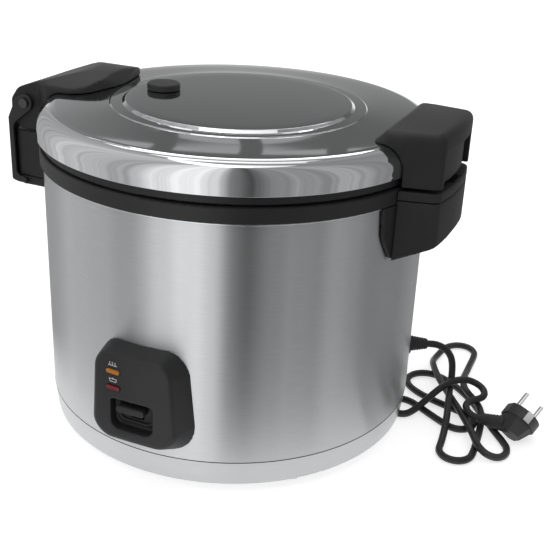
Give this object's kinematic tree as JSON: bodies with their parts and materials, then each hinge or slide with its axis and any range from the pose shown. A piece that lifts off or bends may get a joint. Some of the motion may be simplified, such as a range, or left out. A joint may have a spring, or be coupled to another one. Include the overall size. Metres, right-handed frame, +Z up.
{
  "type": "rice cooker",
  "caption": "Large counter-top rice cooker with a brushed drum, a hinged polished lid, a latch handle, a cook lever with lamps, a lift-out pot and a mains lead in a loose hank.",
  "frame": {"origin": "on the drum's axis, at the height of the floor the four feet stand on", "axes": "+Z up the drum's axis, -Y towards the control panel at the front, +X towards the latch handle, -X towards the lid's hinge"},
  "size_m": [0.5257, 0.4008, 0.313],
  "materials": {
    "shell_steel": "brushed",
    "base_steel": "satin",
    "lid_steel": "mirror polished",
    "black_plastic": "fine grain",
    "black_metal": "satin",
    "pot_aluminium": "satin",
    "cast_aluminium": "machined",
    "heater_steel": "dull",
    "plain_steel": "plain sheet",
    "bright_steel": "polished",
    "spring_steel": "drawn wire",
    "ferrite": "ground",
    "heater_cloth": "woven glass",
    "switch_plastic": "plain",
    "pale_silicone": "soft",
    "foot_rubber": "soft",
    "cord_rubber": "soft gloss",
    "amber_lens": "clear coloured",
    "red_lens": "clear coloured",
    "lamp_glass": "clear",
    "pin_chrome": "bright"
  },
  "bodies": {
    "cooker": {"outer_shell": "shell_steel", "base_ring": "base_steel", "rim_ring": "black_plastic", "latch_handle_base": "black_plastic", "latch_handle_grip": "black_plastic", "latch_handle_cap": "black_plastic", "rear_handle_tray": "black_plastic", "rear_handle_cover": "black_plastic", "control_panel": "black_plastic", "hinge_yoke": "black_metal", "heating_plate": "cast_aluminium", "heater_tube": "heater_steel", "inner_casing": "plain_steel", "bottom_plate": "plain_steel", "plate_posts": "plain_steel", "sensor_sleeve": "plain_steel", "switch_bracket": "plain_steel", "strike_plate": "plain_steel", "hinge_pin": "bright_steel", "switch_pin": "bright_steel", "base_screws": "bright_steel", "panel_screws": "bright_steel", "latch_handle_screws": "bright_steel", "rear_handle_screws": "bright_steel", "keep_warm_band": "heater_cloth", "micro_switch": "switch_plastic", "terminal_block": "switch_plastic", "thermal_fuse": "switch_plastic", "feet": "foot_rubber", "cord_gland": "cord_rubber", "cord_lead": "cord_rubber", "cord_hank": "cord_rubber", "plug_body": "cord_rubber", "lamp_lens_warm": "amber_lens", "lamp_lens_cook": "red_lens", "pilot_lamps": "lamp_glass", "plug_pins": "pin_chrome", "plug_earth_clips": "pin_chrome"},
    "lid": {"lid_shell": "lid_steel", "lid_ring": "black_plastic", "lid_inner_pan": "plain_steel", "lid_gasket": "pale_silicone", "vent_grommet": "pale_silicone", "lid_screws": "bright_steel", "latch_hood": "black_plastic", "latch_pin": "bright_steel", "latch_spring": "spring_steel", "hinge_arm": "black_plastic"},
    "latch": {"latch_lever": "black_plastic"},
    "vent": {"vent_cap": "black_plastic"},
    "pot": {"inner_pot": "pot_aluminium"},
    "switch": {"switch_arm": "plain_steel", "cook_lever": "black_plastic"},
    "magnet": {"magnet_rod": "ferrite"},
    "sensor": {"sensor_cap": "cast_aluminium", "ferrite_disc": "ferrite", "sensor_spring": "spring_steel"}
  },
  "joints": [
    {"name": "lid_hinge", "type": "hinge", "parent": "cooker", "child": "lid", "pos_m": [-0.1995, 0, 0.282], "axis": [0, -1, 0], "range_deg": [0, 90]},
    {"name": "latch_pull", "type": "hinge", "parent": "lid", "child": "latch", "pos_m": [0.193, 0, 0.287], "axis": [0, -1, 0], "range_deg": [0, 12], "stiffness_Nm_per_rad": 0.6, "springref_deg": -17.19},
    {"name": "vent_lift", "type": "slide", "parent": "lid", "child": "vent", "axis": [0, 0, 1], "range_m": [0, 0.03]},
    {"name": "pot_turn", "type": "hinge", "parent": "cooker", "child": "pot", "pos_m": [0, 0, 0.0724], "axis": [0, 0, 1], "range_deg": [-20, 20]},
    {"name": "cook_switch", "type": "hinge", "parent": "cooker", "child": "switch", "pos_m": [0, -0.06, 0.03], "axis": [1, 0, 0], "range_deg": [0, 3.76], "stiffness_Nm_per_rad": 1.5, "springref_deg": -6.88},
    {"name": "magnet_rise", "type": "slide", "parent": "cooker", "child": "magnet", "axis": [0, 0, 1], "range_m": [0, 0.004]},
    {"name": "sensor_press", "type": "slide", "parent": "cooker", "child": "sensor", "axis": [0, 0, 1], "range_m": [-0.003, 0], "stiffness_N_per_m": 1500, "springref_m": 0.003, "deforming": ["sensor_spring"]}
  ],
  "couplings": [
    {"joint": "magnet_rise", "follows": "cook_switch", "m_per_rad": 0.06}
  ]
}
